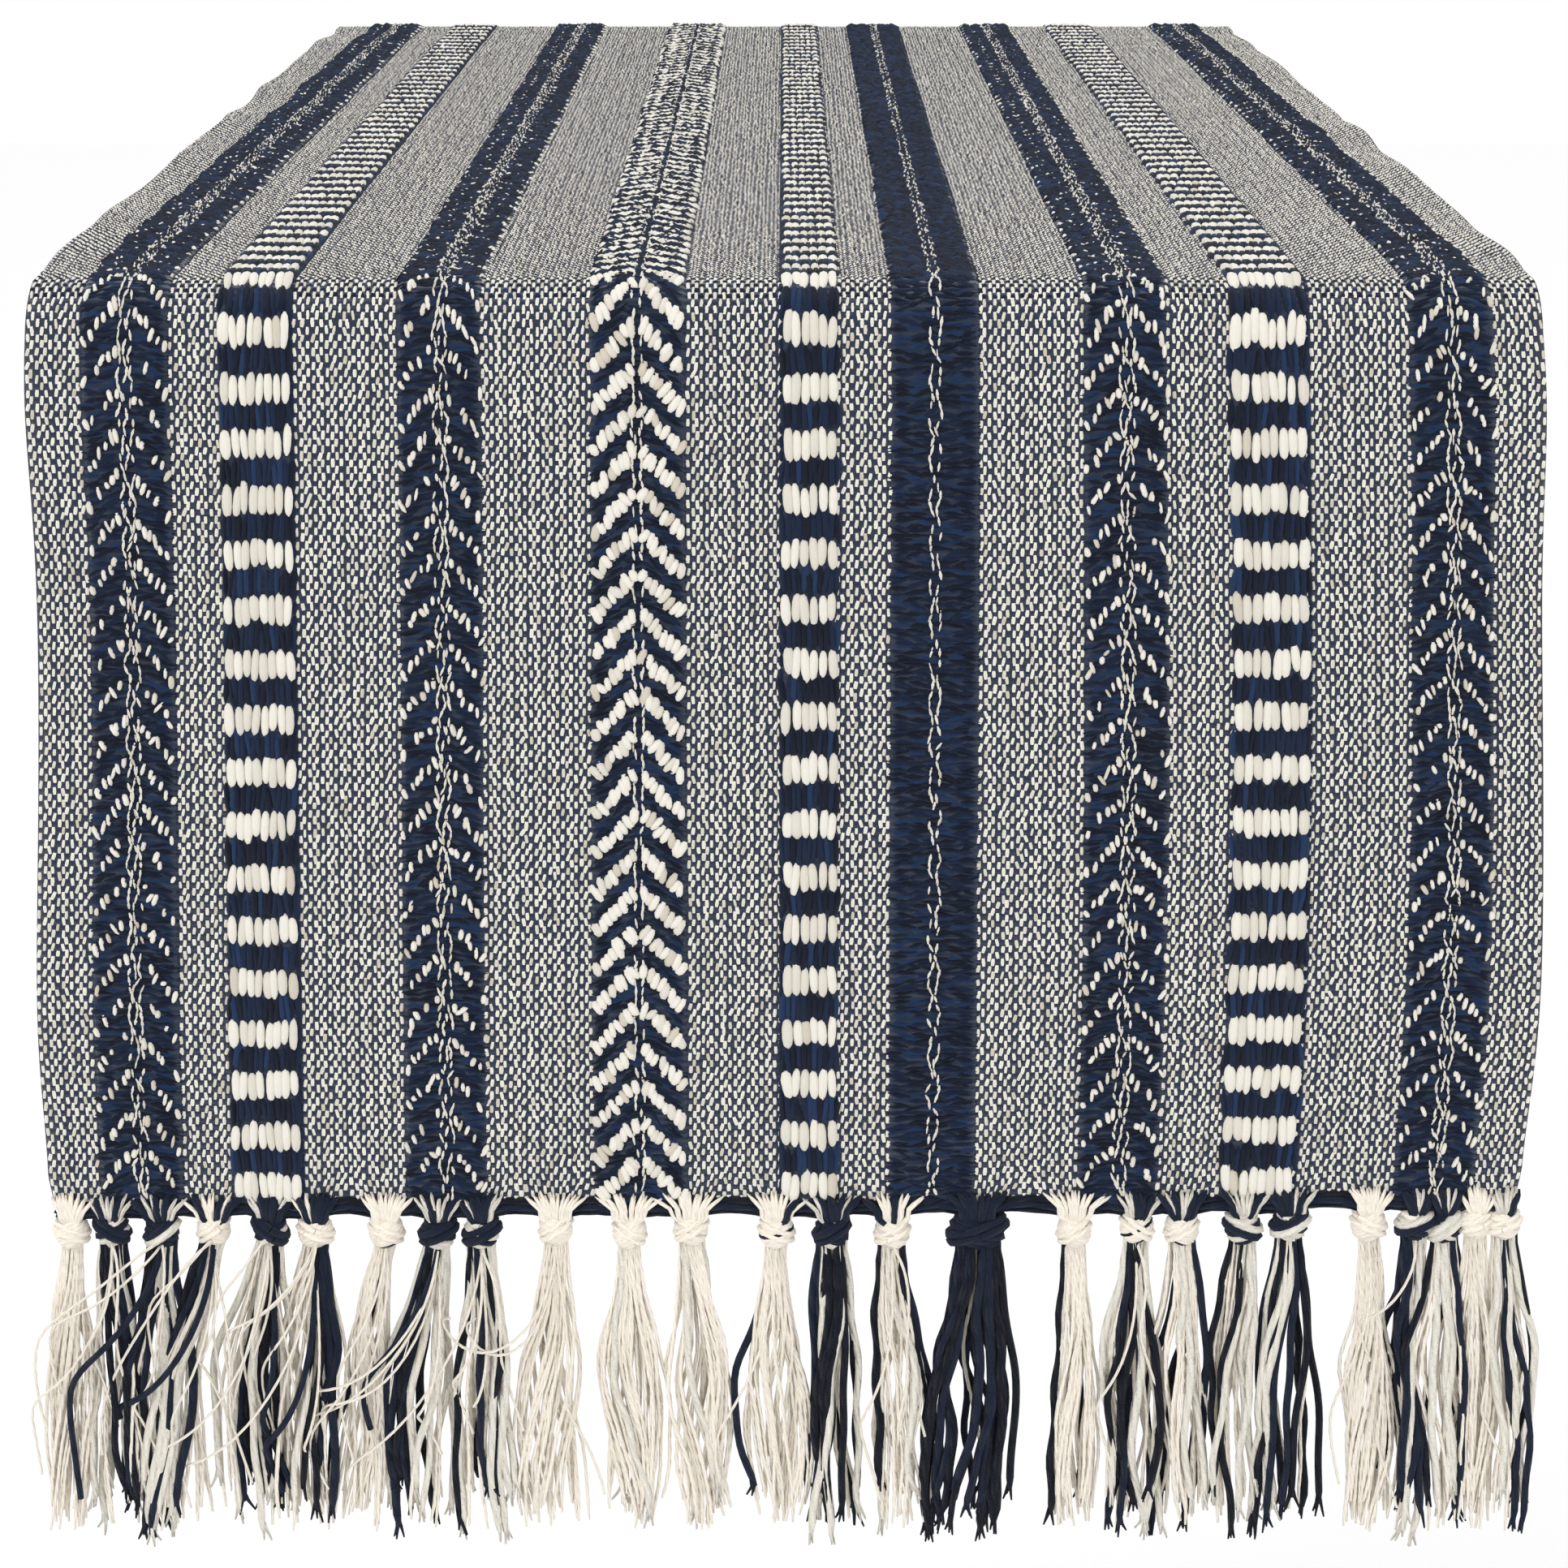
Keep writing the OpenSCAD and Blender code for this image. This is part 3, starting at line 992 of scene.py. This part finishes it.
def tassel_yarns(row, end, rng):
    """All yarns of one tassel: its knot's wraps and the strands that hang from it."""
    x, thin_count, soft_count, navy_count, side, lean = row
    big = navy_count > navy_bundle
    radius, wide = (0.0048, 1.8) if big else (0.0044, 1.08)
    centre = hem_point(np.array(x / 1000), end, knot_drop + rng.uniform(-0.0004, 0.0014))
    kinds = [thin] * thin_count + [soft] * soft_count + [navy] * navy_count
    rng.shuffle(kinds)
    yarns = wound_knot(centre, radius, kinds, rng, wide)
    lean = lean / 1000 * (1 if end == "front" else rng.uniform(-1, 1))
    spread = 0.0108 if big else 0.0054 + 0.0016 * (navy_count > 2)
    locks = [(rng.uniform(0.0008, 0.0025), rng.uniform(0.5, 1.3), rng.uniform(0, 6.28))
             for _ in range(4)]
    least, most = (1.2, 2.4) if navy_count < 2 else (0.2, 0.9)
    twist = rng.choice([-1, 1]) * rng.uniform(least, most)
    swell = rng.uniform(0.0, 0.35)
    for n, kind in enumerate(kinds):
        thick = kind != thin
        a = (n + rng.uniform(0.1, 0.9)) / len(kinds) * 2 - 1
        if kind == navy and side:
            a = 0.5 * a + 0.45 * side
        angle = math.acos(a) * rng.choice([-1, -1, 1] if end == "front" else [1, 1, -1])
        reach = spread * (1.0 if thick else rng.uniform(0.45, 1.0))
        start = centre + np.array([a * 0.0014 * wide, 0.0, -radius * 0.6])
        tip = np.array([
            centre[0] + lean + rng.normal(0, 0.0013), centre[1],
            tip_z + rng.uniform(-0.002, 0.009) * (1.5 if thick else 1.0)])
        crinkle = rng.uniform(0.0002, 0.0005) if thick else rng.uniform(0.0001, 0.0004)
        lock = locks[(n * len(locks)) // len(kinds)]
        path = hanging_strand(start, tip, (reach, angle, twist), swell, lock, crinkle, rng,
                              24 if thick else 17)
        if kind == navy:
            thickness, kind = rng.uniform(0.00095, 0.0013), int(rng.choice([navy, dark]))
        else:
            thickness = rng.uniform(0.00095, 0.0012) if thick else rng.uniform(0.00046, 0.0006)
        fade = np.ones(len(path))
        fade[:2] = 0.7
        fade[-1] = 0.6
        yarns.append((path, thickness * fade, kind))
        if thick:
            for _ in range(3):
                way_out = np.array([rng.normal(0, 0.0012), rng.normal(0, 0.0008), 0.0])
                fall = np.array([0.0, 0.0, -rng.uniform(0.002, 0.004)])
                yarns.append((np.array([path[-2], path[-1] + way_out * 0.4,
                                        path[-1] + way_out + fall]),
                              np.array([0.0006, 0.0005, 0.00025]), kind))
    return yarns


def stray_end(centre, reach, rise, fall, kind, rng):
    """One end that has slipped sideways and lies in an arc over its neighbours."""
    t = np.linspace(0, 1, 22)
    out = rng.uniform(0.0045, 0.0075)
    waves = rng.uniform(5, 8)
    path = np.stack([
        centre[0] + reach * ease(t) + 0.0045 * np.sin(waves * t) * t,
        centre[1] - out * np.sin(math.pi * np.clip(t * 1.2, 0, 1)) - 0.004 * t,
        centre[2] - 0.003 - fall * t + rise * np.sin(math.pi * t)
        + 0.0035 * np.sin(1.4 * waves * t) * t], -1)
    return (path, 0.0004 if kind == thin else 0.0009, kind)


# slipped ends of the front fringe: tassel number, then reach, rise and fall in millimetres
strays = {
    10: [(-30, -16, 22), (-26, -20, 18), (8, -4, 70)],
    13: [(-13, 4, 70)],
    15: [(9, 12, 58), (-7, -5, 72)],
    18: [(-9, -4, 66), (6, 10, 60)],
    22: [(9, -2, 80), (-6, 8, 74)],
    23: [(-13, 2, 36)],
    25: [(8, -4, 66)],
}
# tassels whose ends have slipped about: how many fine ones and how many navy ones
tangled = {2: (3, 0), 3: (4, 1), 4: (5, 1), 5: (5, 1), 6: (6, 1), 7: (3, 0), 8: (5, 1), 9: (4, 0)}

for end in ends:
    for number, row in enumerate(tassels, 1):
        rng = np.random.default_rng(100 * number + (7 if end == "front" else 31))
        yarns = tassel_yarns(row, end, rng)
        if end == "front":
            centre = hem_point(np.array(row[0] / 1000), end, knot_drop)
            slipped = [(*part, thin) for part in strays.get(number, [])]
            for kind, count in zip((thin, navy), tangled.get(number, (0, 0))):
                slipped += [(rng.uniform(-38, 12), rng.uniform(-14, 22), rng.uniform(42, 78), kind)
                            for _ in range(count)]
            for reach, rise, fall, kind in slipped:
                yarns.append(stray_end(centre, reach / 1000, rise / 1000, fall / 1000, kind, rng))
        body = f"{end}_tassel_{number:02d}"
        piece = yarn_piece(body + "_yarns", yarns)
        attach(piece, body)
        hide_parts(body)
        navy_count = row[3]
        cloth_parts[end].append(piece)

# The tools of the build are taken away.
for tool in (laying_surface, ground_stitch, weft_float, plump_float, navy_float, fat_stitch,
             small_stitch):
    bpy.data.objects.remove(tool)
